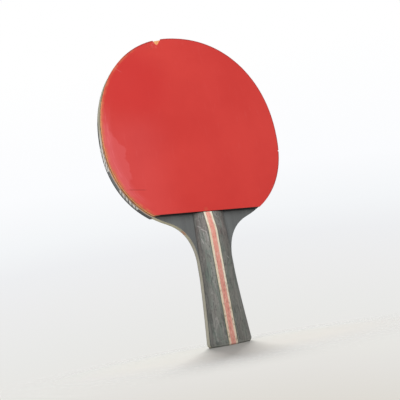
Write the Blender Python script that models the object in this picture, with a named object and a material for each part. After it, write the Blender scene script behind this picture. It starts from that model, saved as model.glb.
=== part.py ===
"""A table tennis racket with a flared grip: five plies, two sponges, two rubber topsheets, an edge tape
and two grip scales, each glued up from two grey blocks, two cream veneers and one red strip.

Metres, +Z up along the grip and towards the head. The front face, with the red rubber, looks along -Y,
and X runs across the face. The origin is the middle of the butt's flat end.
"""

import math

import bmesh
import bpy

# Head outline: two superellipse halves that meet at the widest line.
HEAD_WIDTH = 0.150
OVERALL_LENGTH = 0.2464
WIDEST_HEIGHT = 0.163
UPPER_EXPONENT = 2.13
LOWER_EXPONENT = 2.25
RUBBER_FOOT = 0.100  # height at which both rubbers end
CLOSING_DEPTH = 0.0114  # how far under the rubber's foot the lower half would close on itself

# Wings: a curve from the head's outline down to the grip.
NECK_TURN = math.radians(66.3)  # where the curve leaves the head's outline, counted from the widest line
NECK_UPPER_PULL = 0.0155
NECK_LOWER_PULL = 0.0157

# Grip, seen from the front.
FLARE_HEIGHT = 0.052  # under it the grip widens towards the butt
WAIST_LENGTH = 0.008  # of the straight part between the flare and the wings' curve
WAIST_WIDTH = 0.0276
FLARE_EXPONENT = 1.25
BUTT_WIDTH = 0.0348
BUTT_CORNER_RADIUS = 0.0028

# Grip scales, from the side.
SCALE_THICKNESS = 0.0077
SCALE_END_STEP = 0.00015  # how far the scale's end lies under the rubber's face
SCALE_END_WIDTH = 0.0262
BEVEL_LENGTH = 0.0142  # of the slope that runs down to the rubber
BEVEL_BLEND = 0.0030
CROWN_EXPONENT = 2.3  # of the section: higher is flatter in the middle
EDGE_EXPONENT = 1.4  # of the section: higher is steeper at the long edges
BUTT_EDGE_RADIUS = 0.0014

# Strips let into the scales.
RED_STRIP_WIDTH = 0.0036
VENEER_WIDTH = 0.0015
FRONT_STRIPE_OFFSET = -0.0019
BACK_STRIPE_OFFSET = 0.0

# Layers, counted from the middle of the blade outwards.
CORE_THICKNESS = 0.0026
CROSSBAND_THICKNESS = 0.00055
FACE_PLY_THICKNESS = 0.0006
FRONT_SPONGE_THICKNESS = 0.0024
BACK_SPONGE_THICKNESS = 0.0018
PIP_LENGTH = 0.0008
SHEET_THICKNESS = 0.00075
SHEET_RIM_RADIUS = 0.0002
PIP_FIELD_INSET = 0.0005
SPONGE_INSET = 0.0001
GLUE_LINE = 0.00005

RUBBER_GAP = 0.0003  # between the rubber and the end of the scale

# Edge tape.
TAPE_MARGIN = 0.0001  # left bare along the blade's front edge
TAPE_LAP = 0.0013  # over the back sponge
TAPE_THICKNESS = 0.0003

# Damage to the red rubber: a tear through the topsheet at the top, and a nick at its right edge.
TEAR_X = -0.0197
TEAR_WIDTH = 0.0072
TEAR_DEPTH = 0.0049  # to where its sides would meet, before its tip is rounded
TEAR_LEAN = 0.0015  # how far that place lies beyond the middle of its mouth, away from the head's top
TEAR_TIP_RADIUS = 0.0006
NICK_HEIGHT = 0.1465
NICK_WIDTH = 0.0016
NICK_DEPTH = 0.0009
NICK_TIP_RADIUS = 0.0002

# How finely curves are cut into straight pieces.
HEAD_STEPS = 48
NECK_STEPS = 12
FLARE_STEPS = 12
JOIN_STEPS = 3
CORNER_STEPS = 5
EDGE_STEPS = 4
BEVEL_STEPS = 6
BLOCK_STEPS = 10
STRIP_STEPS = 3
RIM_STEP = math.radians(0.5)  # for the direction of the head's rim at a notch
SHARP_ANGLE = math.radians(35)  # faces that meet at more than this keep a crisp edge

BLADE_HALF = CORE_THICKNESS / 2 + 2 * GLUE_LINE + CROSSBAND_THICKNESS + FACE_PLY_THICKNESS
SCALE_BASE = BLADE_HALF + GLUE_LINE
SHEET_AND_PIPS = GLUE_LINE + PIP_LENGTH + SHEET_THICKNESS
SCALE_TOP = RUBBER_FOOT - RUBBER_GAP
BEVEL_HEIGHT = SCALE_TOP - BEVEL_LENGTH
WAIST_HEIGHT = FLARE_HEIGHT + WAIST_LENGTH
LOWER_REACH = WIDEST_HEIGHT - RUBBER_FOOT + CLOSING_DEPTH


def clear_scene():
    for leftover in list(bpy.data.objects):
        bpy.data.objects.remove(leftover, do_unlink=True)


def material(name, colour, roughness):
    """A plain Principled material."""
    made = bpy.data.materials.new(name)
    made.use_nodes = True
    shader = made.node_tree.nodes["Principled BSDF"]
    shader.inputs["Base Color"].default_value = (*colour, 1.0)
    shader.inputs["Roughness"].default_value = roughness
    shader.inputs["Metallic"].default_value = 0.0
    return made


def add_object(name, mesh_data, finish):
    """Finishes a bmesh as a named object with outward faces, smooth except at its real edges."""
    bmesh.ops.recalc_face_normals(mesh_data, faces=mesh_data.faces)
    mesh = bpy.data.meshes.new(name)
    mesh_data.to_mesh(mesh)
    mesh_data.free()
    mesh.shade_smooth()
    mesh.set_sharp_from_angle(angle=SHARP_ANGLE)
    mesh.materials.append(finish)
    made = bpy.data.objects.new(name, mesh)
    bpy.context.scene.collection.objects.link(made)
    return made


def loft(rings):
    """A closed bmesh through rings of equally many points, capped at both ends."""
    made = bmesh.new()
    rows = [[made.verts.new(point) for point in ring] for ring in rings]
    count = len(rings[0])
    for lower, upper in zip(rows, rows[1:]):
        for i in range(count):
            j = (i + 1) % count
            made.faces.new((lower[i], lower[j], upper[j], upper[i]))
    made.faces.new(rows[0])
    made.faces.new(rows[-1])
    return made


def head_half(upper):
    """Reach and exponent of the upper or the lower half of the head's outline."""
    if upper:
        return OVERALL_LENGTH - WIDEST_HEIGHT, UPPER_EXPONENT
    return LOWER_REACH, LOWER_EXPONENT


def head_point(turn):
    """Right-hand point of the head's outline: turn is 0 at the widest line, 90 degrees at the top."""
    reach, exponent = head_half(turn >= 0)
    rise = math.copysign(reach * abs(math.sin(turn)) ** (2 / exponent), turn)
    return (HEAD_WIDTH / 2 * math.cos(turn) ** (2 / exponent), WIDEST_HEIGHT + rise)


def head_turn(height):
    """The turn at which the head's outline passes this height."""
    rise = height - WIDEST_HEIGHT
    reach, exponent = head_half(rise >= 0)
    return math.copysign(math.asin((abs(rise) / reach) ** (exponent / 2)), rise)


def head_points(first, last, steps):
    """Points of the head's outline from one turn up to another, without the last one."""
    return [head_point(first + (last - first) * i / steps) for i in range(steps)]


def head_side():
    """Right-hand side of the head from the rubber's foot to the top, whose last point is on the axis."""
    return head_points(head_turn(RUBBER_FOOT), math.pi / 2, HEAD_STEPS) + [(0.0, OVERALL_LENGTH)]


def grip_half_width(height):
    """Half of the grip's width under the waist, with the butt's rounded corners."""
    half = WAIST_WIDTH / 2
    if height < FLARE_HEIGHT:
        share = (FLARE_HEIGHT - height) / FLARE_HEIGHT
        half += (BUTT_WIDTH - WAIST_WIDTH) / 2 * share**FLARE_EXPONENT
    return half - rounded_loss(height, BUTT_CORNER_RADIUS)


def rounded_loss(height, radius):
    """What a quarter round of this radius takes off a side at this height above the butt."""
    if height >= radius:
        return 0.0
    return radius - math.sqrt(radius**2 - (radius - height) ** 2)


def rounding_heights(radius, steps):
    """Heights of the stations on a quarter round that starts at the butt."""
    return [radius * (1 - math.cos(math.pi / 2 * i / steps)) for i in range(steps + 1)]


def grip_heights():
    """Heights of the grip's stations from the butt to the waist, close together at the butt's corners."""
    corner = rounding_heights(BUTT_CORNER_RADIUS, CORNER_STEPS)
    flare = [
        BUTT_CORNER_RADIUS + (FLARE_HEIGHT - BUTT_CORNER_RADIUS) * i / FLARE_STEPS
        for i in range(1, FLARE_STEPS + 1)
    ]
    return corner + flare + [WAIST_HEIGHT]


def neck_side():
    """Right-hand wing: a Bezier curve from the waist up into the head's outline, without its ends."""
    waist = (grip_half_width(WAIST_HEIGHT), WAIST_HEIGHT)
    head = head_point(-NECK_TURN)
    across = (head[0] / (HEAD_WIDTH / 2)) ** (LOWER_EXPONENT - 1) / (HEAD_WIDTH / 2)
    down = ((WIDEST_HEIGHT - head[1]) / LOWER_REACH) ** (LOWER_EXPONENT - 1) / LOWER_REACH
    steepness = math.hypot(across, down)
    lower_pull = (waist[0], waist[1] + NECK_LOWER_PULL)
    upper_pull = (
        head[0] - NECK_UPPER_PULL * down / steepness,
        head[1] - NECK_UPPER_PULL * across / steepness,
    )
    side = []
    for i in range(1, NECK_STEPS):
        t = i / NECK_STEPS
        weights = ((1 - t) ** 3, 3 * t * (1 - t) ** 2, 3 * t**2 * (1 - t), t**3)
        corners = (waist, lower_pull, upper_pull, head)
        side.append(tuple(sum(w * c[k] for w, c in zip(weights, corners)) for k in (0, 1)))
    return side


def closed_outline(right_side):
    """The whole outline from its right side, which ends on the axis at the top."""
    left_side = [(-x, z) for x, z in reversed(right_side[:-1])]
    return right_side + left_side


def blade_outline():
    """The blade: the grip, the wing, and the head from where the wing's curve leaves it."""
    grip = [(grip_half_width(height), height) for height in grip_heights()]
    join = head_points(-NECK_TURN, head_turn(RUBBER_FOOT), JOIN_STEPS)
    return closed_outline(grip + neck_side() + join + head_side())


def direction(start, end):
    length = math.dist(start, end)
    return ((end[0] - start[0]) / length, (end[1] - start[1]) / length)


def inset_line(line, inset, closed=True):
    """A line that runs anticlockwise, moved inwards by this much, or outwards when it is negative."""
    runs = [direction(a, b) for a, b in zip(line, line[1:] + line[:1])]
    if not closed:
        runs[-1] = runs[-2]
    moved = []
    for i, (x, z) in enumerate(line):
        after = runs[i]
        before = runs[i - 1] if closed or i else after
        share = inset / (1 + before[0] * after[0] + before[1] * after[1])
        moved.append((x - share * (before[1] + after[1]), z + share * (before[0] + after[0])))
    return moved


def slab(name, outline, side, inner, outer, finish):
    """A flat layer between two distances from the blade's middle: side -1 is the front, 1 the back."""
    rings = [[(x, side * depth, z) for x, z in outline] for depth in (inner, outer)]
    return add_object(name, loft(rings), finish)


def add_blade(finishes):
    """Core, crossbands and face plies, all of the blade's own outline."""
    outline = blade_outline()
    slab("blade_core", outline, 1, -CORE_THICKNESS / 2, CORE_THICKNESS / 2, finishes["core"])
    for word, side in (("front", -1), ("back", 1)):
        inner = CORE_THICKNESS / 2 + GLUE_LINE
        outer = inner + CROSSBAND_THICKNESS
        slab(f"{word}_crossband", outline, side, inner, outer, finishes["crossband"])
        inner = outer + GLUE_LINE
        outer = inner + FACE_PLY_THICKNESS
        slab(f"{word}_face_ply", outline, side, inner, outer, finishes["face ply"])


def add_rubber(word, side, sponge_thickness, sponge_finish, sheet_finish):
    """Sponge and topsheet of one face. The topsheet is a sheet on a set-back layer of pips."""
    outline = closed_outline(head_side())
    inner = BLADE_HALF + GLUE_LINE
    outer = inner + sponge_thickness
    slab(f"{word}_sponge", inset_line(outline, SPONGE_INSET), side, inner, outer, sponge_finish)
    pips = outer + GLUE_LINE
    sheet = pips + PIP_LENGTH
    face = sheet + SHEET_THICKNESS
    steps = (
        (PIP_FIELD_INSET, pips),
        (PIP_FIELD_INSET, sheet),
        (0.0, sheet),
        (0.0, face - SHEET_RIM_RADIUS),
        (SHEET_RIM_RADIUS, face),
    )
    rings = []
    for inset, depth in steps:
        rings.append([(x, side * depth, z) for x, z in inset_line(outline, inset)])
    return add_object(f"{word}_topsheet", loft(rings), sheet_finish)


def cut(target, name, corners):
    """Cuts a prism through the target, front to back, from corners given as (x, z)."""
    depths = (-BLADE_HALF - FRONT_SPONGE_THICKNESS, -SCALE_BASE - SCALE_THICKNESS)
    rings = [[(x, depth, z) for x, z in corners] for depth in depths]
    cutter = add_object(name, loft(rings), target.data.materials[0])
    cutter.hide_render = True
    cutter.display_type = "WIRE"
    cutting = target.modifiers.new(name, "BOOLEAN")
    cutting.operation = "DIFFERENCE"
    cutting.object = cutter


def rim_frame(turn):
    """A point of the head's rim, with the unit vectors out of the rim and along it."""
    along = direction(head_point(turn - RIM_STEP), head_point(turn + RIM_STEP))
    return head_point(turn), (along[1], -along[0]), along


def notch_corners(turn, width, depth, lean, tip_radius, mirrored):
    """A V with a rounded tip, open outwards across the head's rim. It leans down the rim, off the top."""
    origin, outward, along = rim_frame(turn)
    flank = math.atan2(width / 2, depth)
    tip = depth - tip_radius / math.sin(flank)
    shape = [(width, depth)]
    for i in range(CORNER_STEPS + 1):
        swing = (math.pi / 2 - flank) * (1 - 2 * i / CORNER_STEPS)
        shape.append((tip_radius * math.sin(swing), -tip - tip_radius * math.cos(swing)))
    shape.append((-width, depth))
    sign = -1 if mirrored else 1
    corners = []
    for across, out in shape:
        shift = across + lean * out / depth
        x = origin[0] + shift * along[0] + out * outward[0]
        corners.append((sign * x, origin[1] + shift * along[1] + out * outward[1]))
    return corners


def add_damage(topsheet):
    """The tear at the top of the red rubber, left of the middle, and the nick at its right edge."""
    tear_turn = math.acos((abs(TEAR_X) / (HEAD_WIDTH / 2)) ** (UPPER_EXPONENT / 2))
    tear = notch_corners(tear_turn, TEAR_WIDTH, TEAR_DEPTH, TEAR_LEAN, TEAR_TIP_RADIUS, TEAR_X < 0)
    cut(topsheet, "tear_cutter", tear)
    nick_turn = head_turn(NICK_HEIGHT)
    nick = notch_corners(nick_turn, NICK_WIDTH, NICK_DEPTH, 0.0, NICK_TIP_RADIUS, False)
    cut(topsheet, "nick_cutter", nick)


def add_tape(finish):
    """A thin band round the edges of the wood and the back sponge, from foot to foot over the head's top."""
    front = TAPE_MARGIN - BLADE_HALF
    back = BLADE_HALF + TAPE_LAP
    path = closed_outline(head_side())
    inner = inset_line(path, -GLUE_LINE, closed=False)
    outer = inset_line(path, -GLUE_LINE - TAPE_THICKNESS, closed=False)
    rings = []
    for (inner_x, inner_z), (outer_x, outer_z) in zip(inner, outer):
        rings.append(
            [
                (inner_x, front, inner_z),
                (outer_x, front, outer_z),
                (outer_x, back, outer_z),
                (inner_x, back, inner_z),
            ]
        )
    add_object("edge_tape", loft(rings), finish)


def scale_half_width(height):
    """Half of a scale's width: the grip's own up to the waist, then a little narrower to the rubber."""
    if height <= WAIST_HEIGHT:
        return grip_half_width(height)
    share = (height - WAIST_HEIGHT) / (SCALE_TOP - WAIST_HEIGHT)
    return WAIST_WIDTH / 2 + (SCALE_END_WIDTH - WAIST_WIDTH) / 2 * share


def scale_crown(height, end_thickness):
    """Thickness of a scale along its middle, with the butt's rounded edge and the bevel at the rubber."""
    slope = (SCALE_THICKNESS - end_thickness) / (SCALE_TOP - BEVEL_HEIGHT)
    above = height - BEVEL_HEIGHT
    if above <= -BEVEL_BLEND:
        drop = 0.0
    elif above < BEVEL_BLEND:
        drop = slope * (above + BEVEL_BLEND) ** 2 / (4 * BEVEL_BLEND)
    else:
        drop = slope * above
    return SCALE_THICKNESS - drop - rounded_loss(height, BUTT_EDGE_RADIUS)


def scale_heights():
    """Heights of a scale's stations from the butt to the rubber."""
    blend = [
        BEVEL_HEIGHT - BEVEL_BLEND + 2 * BEVEL_BLEND * i / BEVEL_STEPS
        for i in range(BEVEL_STEPS + 1)
    ]
    edge = rounding_heights(BUTT_EDGE_RADIUS, EDGE_STEPS)
    return sorted({*grip_heights(), *edge, *blend, SCALE_TOP})


def scale_surface(x, height, end_thickness):
    """Thickness of a scale at this place."""
    share = min(abs(x) / scale_half_width(height), 1.0)
    return scale_crown(height, end_thickness) * (1 - share**CROWN_EXPONENT) ** (1 / EDGE_EXPONENT)


def section(height, side, end_thickness, start, end, steps):
    """One station of a strip of the scale: its flat base, then its crowned top from end back to start."""
    ring = [(start, side * SCALE_BASE, height)]
    for i in range(steps, -1, -1):
        x = start + (end - start) * math.sin(math.pi / 2 * i / steps)
        ring.append((x, side * (SCALE_BASE + scale_surface(x, height, end_thickness)), height))
    return ring


def add_strip(name, side, end_thickness, start, end, finish):
    """A narrow strip of constant width, from one end of the scale to the other."""
    rings = []
    for height in scale_heights():
        ring = section(height, side, end_thickness, start, end, STRIP_STEPS)
        rings.append([*ring[:1], (end, side * SCALE_BASE, height), *ring[1:]])
    add_object(name, loft(rings), finish)


def add_block(name, side, end_thickness, start, hand, finish):
    """The grey block between a veneer and the scale's own edge: hand -1 is the left one, 1 the right."""
    rings = []
    for height in scale_heights():
        edge = hand * scale_half_width(height)
        rings.append(section(height, side, end_thickness, start, edge, BLOCK_STEPS))
    add_object(name, loft(rings), finish)


def add_scale(word, side, sponge_thickness, offset, finishes):
    """One grip scale, from its red strip outwards."""
    end_thickness = sponge_thickness + SHEET_AND_PIPS - SCALE_END_STEP
    half_strip = RED_STRIP_WIDTH / 2
    left, right = offset - half_strip, offset + half_strip
    add_strip(f"{word}_scale_red_strip", side, end_thickness, left, right, finishes["red strip"])
    for hand_word, hand in (("left", -1), ("right", 1)):
        inner = offset + hand * (half_strip + GLUE_LINE)
        outer = inner + hand * VENEER_WIDTH
        add_strip(f"{word}_scale_{hand_word}_veneer", side, end_thickness, inner, outer, finishes["veneer"])
        start = outer + hand * GLUE_LINE
        add_block(f"{word}_scale_{hand_word}_block", side, end_thickness, start, hand, finishes["block"])


def build():
    clear_scene()
    finishes = {
        "core": material("pale core wood", (0.52, 0.44, 0.30), 0.7),
        "crossband": material("pale cross-grain wood", (0.40, 0.32, 0.20), 0.7),
        "face ply": material("dark grey dyed ply", (0.12, 0.12, 0.125), 0.55),
        "front sponge": material("orange sponge", (0.80, 0.33, 0.10), 0.9),
        "back sponge": material("dark sponge", (0.022, 0.021, 0.021), 0.9),
        "red rubber": material("red rubber", (0.62, 0.045, 0.035), 0.4),
        "black rubber": material("black rubber", (0.012, 0.012, 0.013), 0.4),
        "tape": material("pale edge tape", (0.50, 0.47, 0.42), 0.5),
        "veneer": material("cream veneer", (0.75, 0.62, 0.44), 0.6),
        "red strip": material("faded red veneer", (0.60, 0.20, 0.15), 0.6),
        "block": material("grey stained wood", (0.15, 0.15, 0.14), 0.6),
    }
    add_blade(finishes)
    sides = (
        ("front", -1, FRONT_SPONGE_THICKNESS, "front sponge", "red rubber", FRONT_STRIPE_OFFSET),
        ("back", 1, BACK_SPONGE_THICKNESS, "back sponge", "black rubber", BACK_STRIPE_OFFSET),
    )
    topsheets = {}
    for word, side, thickness, sponge, sheet, offset in sides:
        topsheets[word] = add_rubber(word, side, thickness, finishes[sponge], finishes[sheet])
        add_scale(word, side, thickness, offset, finishes)
    add_damage(topsheets["front"])
    add_tape(finishes["tape"])


build()
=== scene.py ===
import math
import random

import bmesh
import bpy
from mathutils import Matrix, Vector


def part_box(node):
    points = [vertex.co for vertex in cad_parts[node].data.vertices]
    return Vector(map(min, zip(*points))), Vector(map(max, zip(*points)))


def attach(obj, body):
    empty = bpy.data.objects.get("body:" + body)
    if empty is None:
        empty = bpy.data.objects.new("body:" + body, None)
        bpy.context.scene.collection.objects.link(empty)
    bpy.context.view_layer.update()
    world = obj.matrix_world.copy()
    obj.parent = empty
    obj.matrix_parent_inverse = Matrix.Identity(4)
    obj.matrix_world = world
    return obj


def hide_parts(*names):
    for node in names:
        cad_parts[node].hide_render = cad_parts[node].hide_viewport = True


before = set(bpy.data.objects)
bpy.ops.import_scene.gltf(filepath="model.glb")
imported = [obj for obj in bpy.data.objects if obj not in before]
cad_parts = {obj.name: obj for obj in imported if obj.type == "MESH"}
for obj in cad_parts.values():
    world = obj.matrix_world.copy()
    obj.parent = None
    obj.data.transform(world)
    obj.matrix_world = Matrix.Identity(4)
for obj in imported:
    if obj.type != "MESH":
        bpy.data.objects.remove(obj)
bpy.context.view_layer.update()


def linear(red, green, blue):
    """A colour given in the 0 to 255 steps of a picture, as the linear colour that a shader takes."""
    shares = [value / 255 for value in (red, green, blue)]
    return tuple(s / 12.92 if s <= 0.04045 else ((s + 0.055) / 1.055) ** 2.4 for s in shares) + (1.0,)


# Lengths are in metres, and a place on the face is (x, z).
# A pair of numbers that a fade takes says where something starts and where it is full.

# Camera, at the photograph's viewing angle.
IMAGE_WIDTH = 400
FOCAL_PIXELS = 550
SENSOR_WIDTH = 36.0
NEAREST_SEEN = 0.01
CAMERA_PLACE = (-0.18626, -0.37428, 0.01905)
CAMERA_RIGHT = (0.9009, -0.3980, -0.1729)
CAMERA_UP = (0.0663, -0.2677, 0.9612)
CAMERA_BACK = (-0.4289, -0.8775, -0.2148)

# Lamps: their place, what they face, their width and height, and their power in watts.
KEY_LAMP = ((-0.55, -0.75, 0.80), (0.0, 0.0, 0.14), (0.9, 0.9), 8.0)
FILL_LAMP = ((0.45, 0.90, 0.60), (0.0, 0.0, 0.14), (0.7, 0.7), 4.0)
FLOOR_LAMP = ((6.18, 12.66, 4.98), (0.0, 0.0, 0.0), (3.75, 2.70), 9000.0)

# World: even light, and a backdrop in tones that follow how far a direction runs upwards.
WORLD_STRENGTH = 0.55
BACKDROP_UP = (-0.1249, -0.3400, 0.9321)
BACKDROP_RANGE = (-0.5, 0.15)
BACKDROP_TONES = (
    (-0.50, linear(222, 219, 212)),
    (-0.45, linear(228, 226, 222)),
    (-0.42, linear(231, 230, 226)),
    (-0.36, linear(233, 233, 231)),
    (-0.29, linear(236, 236, 236)),
    (-0.23, linear(238, 239, 241)),
    (-0.18, linear(244, 246, 248)),
    (-0.10, linear(251, 252, 254)),
    (0.10, linear(255, 255, 255)),
)

# Floor, which fades and darkens with the distance from its middle.
FLOOR_RADIUS = 0.3
FLOOR_SIDES = 96
FLOOR_MIDDLE = (-0.0215, -0.0450, 0.0)
FLOOR_FADE = (0.165, 0.060)
FLOOR_DARKENING = (0.055, 0.130)
FLOOR_COLOUR = linear(159, 158, 154)
FLOOR_FAR_COLOUR = linear(155, 155, 153)

# The head's outline, as in the CAD: two superellipse halves that meet at the widest line.
HEAD_HALF_WIDTH = 0.075
WIDEST_HEIGHT = 0.163
UPPER_REACH = 0.0834
LOWER_REACH = 0.0744
UPPER_EXPONENT = 2.13
LOWER_EXPONENT = 2.25
RUBBER_FOOT = 0.100
HEAD_MIDDLE = Vector((0.0, WIDEST_HEIGHT))

# Rubber sheets and their pips.
SHEET_THICKNESS = 0.00075
SHEET_RIM_RADIUS = 0.0002
SHEET_RIM_STEPS = 3
PIP_RADIUS = 0.00085
PIP_TIP_SHARE = 0.88  # of the radius that a pip has at its root
PIP_SPACING = 0.0023
PIP_SIDES = 10
PIP_FIELD_DEPTH = 0.0055  # further in, nothing shows, and the pips are one block
PIP_CLEARANCE = 0.00005  # of a pip's flank from the rim

# Damage to the red rubber.
TEAR_PLACE = (-0.0197, 0.2440)
TEAR_WIDTH = 0.0072
TEAR_DEPTH = 0.0045
TEAR_LEAN = 0.0015
TEAR_RAGGEDNESS = 0.00014
TEAR_STEPS = 7
NICK_PLACE = (0.0740, 0.1465)
NICK_WIDTH = 0.0016
NICK_DEPTH = 0.0009
NICK_LEAN = 0.0
NICK_RAGGEDNESS = 0.00003
NICK_STEPS = 3
NOTCH_EXPONENT = 1.25  # at 1 the sides would be straight

# Sponges.
FOAM_STEP = 0.0009
FOAM_RINGS = 5
FOAM_INSET = 0.0001
FOAM_UNEVENNESS = 0.00022

# Tape.
TAPE_THICKNESS = 0.0003
TAPE_UNEVENNESS = 0.00012
GLUE_LINE = 0.00005

# Seeds of the uneven shapes.
TEAR_SEED = 5
NICK_SEED = 6
FRONT_FOAM_SEED = 11
BACK_FOAM_SEED = 12
TAPE_SEED = 3

# Angles above which two faces meet in a crisp edge, or in a rounded one where a piece has such edges.
SHARP_ANGLE = math.radians(35)
ROUNDED_ANGLE = math.radians(50)

# Corners this near a level lie on it, and their places are rounded to this many digits.
LEVEL_TOLERANCE = 0.000001
PLACE_DIGITS = 7

# Roughness, from lowest to highest where it varies.
RUBBER_ROUGHNESS = (0.36, 0.50)
PLY_ROUGHNESS = (0.38, 0.5)
BARE_WOOD_ROUGHNESS = (0.5, 0.7)
GRIP_ROUGHNESS = (0.45, 0.65)
TAPE_ROUGHNESS = (0.38, 0.6)
MATT_ROUGHNESS = 0.9

# How far the finest relief stands out.
RUBBER_RELIEF = 0.000004
FOAM_RELIEF = 0.00010
GRAIN_RELIEF = 0.00003
PORE_RELIEF = 0.00004
TAPE_RELIEF = 0.00001

# Red rubber.
RED_DARK = linear(213, 46, 38)
RED_LIGHT = linear(221, 56, 47)
RED_HAZE = linear(226, 100, 96)
RED_DEEP = linear(212, 34, 30)
# Paler red of wear, also used for the painted sheen over the lower left.
RED_WORN_AND_SHEEN = linear(240, 114, 118)
RED_CUT_EDGE = linear(142, 36, 32)
DEEP_PLACE = (-0.0470, 0.2050)
DEEP_RADIUS = 0.0390
CUT_EDGE_DEPTH = (0.0011, 0.0004)
CUT_EDGE_SIDE = (-0.02, 0.03)  # of x plus the height over the widest line
FOOT_SHADE = linear(14, 9, 9)
FOOT_SHADE_HEIGHT = 0.00025
PIP_COLOUR = linear(232, 116, 60)
PIP_COLOUR_DEPTH = (-0.0059, -0.0058)  # from the blade's middle

# A painted sheen over its lower left, and the pale band along its lower left rim.
BAND_FOOT = (0.104, 0.118)
BAND_TOP = (0.196, 0.164)
BAND_BEND = (0.146, 0.176)  # heights between which its inner edge runs outwards
BAND_EDGE = (-0.0598, -0.0725)
BAND_JAG = 0.014
BAND_SOFTNESS = (0.0009, -0.0009)
# Painted sheen: a faint paler tint over the lower left of the face.
SHEEN_ACROSS = (-0.012, -0.052)
SHEEN_TOP = (0.188, 0.160)
STREAK_DEPTH = (0.0085, 0.0030)
STREAK_ACROSS = (-0.030, -0.052)
STREAKS_INWARDS = 1300.0  # grains a metre
STREAKS_ROUND = 6.0  # grains a radian

# Dust and marks on it.
DUST_COLOUR = linear(222, 112, 74)
DUST_DEPTH = (0.0024, 0.0005)
DUST_ACROSS = (-0.034, -0.046)
FINE_SCRATCHES = (
    ((-0.0590, 0.2181), (-0.0535, 0.2143)),
    ((-0.0572, 0.2218), (-0.0552, 0.2193)),
)
FINE_SCRATCH_WIDTH = 0.00035
SCRAPE = ((-0.0621, 0.1204), (-0.0485, 0.1196))
SCRAPE_WIDTH = 0.0005
SCRAPE_COLOUR = linear(168, 42, 38)
GRIME_PLACE = (-0.0265, 0.2385)
GRIME_RADIUS = 0.0060
GRIME_COLOUR = linear(178, 66, 50)
TEAR_SCUFF_PLACE = (-0.0225, 0.2395)
TEAR_SCUFF_RADIUS = 0.0045
SMUDGE_PLACE = (-0.0029, 0.1017)
SMUDGE_RADIUS = 0.0022
SMUDGE_COLOUR = linear(206, 96, 62)

# Black rubber.
BLACK_DARK = linear(20, 20, 21)
BLACK_LIGHT = linear(30, 30, 31)
BLACK_HAZE = linear(62, 62, 64)
BLACK_WORN = linear(72, 72, 74)
BLACK_WEAR_DEPTH = (0.0035, 0.0004)

# Foam: its pores, and its skin where that is dark and where it is light.
ORANGE_FOAM = (linear(216, 114, 60), linear(248, 154, 90), linear(255, 186, 124))
DARK_FOAM = (linear(14, 13, 13), linear(32, 30, 30), linear(46, 44, 43))
FOAM_CELLS = 2400.0  # a metre
# Painted light on the foam in the tear.
LIT_FOAM = linear(255, 208, 142)
LIT_FOAM_RADIUS = 0.0090
FOAM_SHADE_HEIGHT = 0.0010
FOAM_SHADE_ACROSS = (-0.0445, -0.0385)

# Bare wood at the blade's edge: light and dark, and both again where dirt and painted shade make it greyer
# down the grip.
CORE_WOOD = (linear(208, 204, 174), linear(180, 174, 142), linear(186, 182, 166), linear(150, 146, 130))
CROSSBAND_WOOD = (linear(190, 174, 142), linear(158, 140, 110), linear(168, 160, 144), linear(130, 122, 108))
# Heights between which the edge turns greyer, from dirt and painted shade.
GRIMY_SHADED_HEIGHT = (0.092, 0.070)
EDGE_STAIN_PLACE = (-0.0213, 0.0865)
EDGE_STAIN_RADIUS = 0.0030
EDGE_STAIN_COLOUR = linear(196, 112, 76)
# Painted light on the rounded edge round the butt.
BUTT_LIGHT_HEIGHT = (0.0022, 0.0006)

# The blade's stained outer ply.
PLY_FACE = 0.00255
PLY_LIGHT = linear(110, 113, 112)
PLY_DARK = linear(97, 99, 99)
PLY_EDGE = linear(194, 190, 162)
PLY_EDGE_LOW = linear(172, 168, 152)
PLY_EDGE_DEPTH = (PLY_FACE - 0.0002, PLY_FACE - 0.0001)
PLY_SHADE = linear(20, 19, 19)
PLY_SHADE_HEIGHT = (RUBBER_FOOT - 0.0012, RUBBER_FOOT - 0.0002)

# The grip's grey blocks.
BLOCK_LIGHT = linear(146, 146, 140)
BLOCK_DARK = linear(92, 93, 89)
BLOCK_LOW = (0.088, 0.056)
BLOCK_GREEN = linear(96, 114, 104)
BLOCK_BROWN = linear(120, 108, 104)
BLOCK_STREAK = linear(66, 65, 64)
BLOCK_PALE_STREAK = linear(158, 156, 152)
BLOCK_SPECK = linear(48, 48, 46)
# Painted shade, tinted brown, over the upper right of the blocks.
BLOCK_RIGHT_SHADE = linear(66, 62, 56)
BLOCK_RIGHT_SHADE_ACROSS = (0.0, 0.004)
BLOCK_RIGHT_SHADE_HEIGHT = (0.088, 0.078)
# Painted light for the butt's rounded edge.
BLOCK_BUTT_LIT = linear(168, 168, 160)
BLOCK_FLANK = linear(66, 64, 62)
BLOCK_FLANK_DEPTH = (0.0078, 0.0040)
# Dark glue and painted contact shade along the seam with the blade.
BLOCK_SEAM_GLUE_AND_SHADE = linear(38, 37, 36)
BLOCK_SEAM_GLUE_AND_SHADE_DEPTH = (0.0034, 0.0028)
STAIN_LINE = linear(84, 98, 76)
FRONT_STRIPE_OFFSET = -0.0019
VENEER_OUTER = 0.0034  # from the middle of the stripe
STAIN_LINE_REACH = (VENEER_OUTER + 0.0009, VENEER_OUTER + 0.0003)
SCUFF_COLOUR = linear(184, 180, 178)
SCUFF_PLACE = (-0.0088, 0.0835)
SCUFF_RADIUS = 0.0085
FRONT_SCRATCH_COLOUR = linear(196, 190, 188)
FRONT_SCRATCH_WIDTH = 0.00045
FRONT_SCRATCHES = (
    ((-0.0121, 0.0896), (-0.0101, 0.0876)),
    ((-0.0107, 0.0870), (-0.0072, 0.0838)),
    ((-0.0073, 0.0842), (-0.0067, 0.0796)),
    ((-0.0067, 0.0800), (-0.0071, 0.0765)),
    ((-0.0154, 0.0851), (-0.0147, 0.0804)),
    ((-0.0110, 0.0794), (-0.0102, 0.0753)),
    ((0.0062, 0.0640), (0.0074, 0.0622)),
)

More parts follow.
